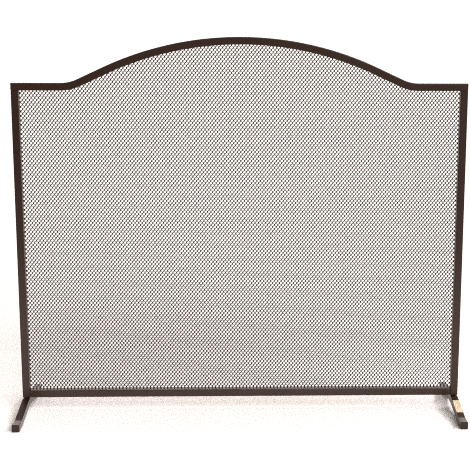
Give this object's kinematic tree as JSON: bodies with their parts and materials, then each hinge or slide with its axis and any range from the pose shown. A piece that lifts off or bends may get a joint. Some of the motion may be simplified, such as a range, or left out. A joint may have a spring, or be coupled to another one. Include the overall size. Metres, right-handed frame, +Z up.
{
  "type": "fireplace screen",
  "caption": "Free-standing flat fireplace screen: arched-top square-tube frame, woven wire mesh panel clamped at its back, two arched bolt-on feet.",
  "frame": {"origin": "on the floor, under the middle of the screen: the centre of the bounding box's bottom", "axes": "+X to the right along the screen's width, +Y from the front to the back, +Z up; the front faces -Y"},
  "size_m": [0.965, 0.254, 0.8214],
  "materials": {
    "frame_powder_coat": "dark oil-rubbed bronze powder coat on steel tube, satin, fine texture",
    "mesh_paint": "dark bronze paint on woven steel wire, satin",
    "black_zinc": "black zinc-plated steel fasteners",
    "cap_plastic": "black moulded polyethylene",
    "label_paper": "blank cream paper label"
  },
  "bodies": {
    "root": {"top_rail": "frame_powder_coat", "left_stile": "frame_powder_coat", "right_stile": "frame_powder_coat", "bottom_rail": "frame_powder_coat", "mesh_panel": "mesh_paint", "top_strip": "frame_powder_coat", "top_strip_screw_1": "black_zinc", "top_strip_screw_2": "black_zinc", "top_strip_screw_3": "black_zinc", "top_strip_screw_4": "black_zinc", "top_strip_screw_5": "black_zinc", "bottom_strip": "frame_powder_coat", "bottom_strip_screw_1": "black_zinc", "bottom_strip_screw_2": "black_zinc", "bottom_strip_screw_3": "black_zinc", "bottom_strip_screw_4": "black_zinc", "bottom_strip_screw_5": "black_zinc", "left_strip": "frame_powder_coat", "left_strip_screw_1": "black_zinc", "left_strip_screw_2": "black_zinc", "left_strip_screw_3": "black_zinc", "left_strip_screw_4": "black_zinc", "right_strip": "frame_powder_coat", "right_strip_screw_1": "black_zinc", "right_strip_screw_2": "black_zinc", "right_strip_screw_3": "black_zinc", "right_strip_screw_4": "black_zinc", "left_foot": "frame_powder_coat", "left_foot_bolt": "black_zinc", "left_foot_washer": "black_zinc", "left_nut_block": "black_zinc", "left_front_toe_cap": "cap_plastic", "left_rear_toe_cap": "cap_plastic", "right_foot": "frame_powder_coat", "right_foot_bolt": "black_zinc", "right_foot_washer": "black_zinc", "right_nut_block": "black_zinc", "right_front_toe_cap": "cap_plastic", "right_rear_toe_cap": "cap_plastic", "foot_label": "label_paper"}
  },
  "joints": []
}
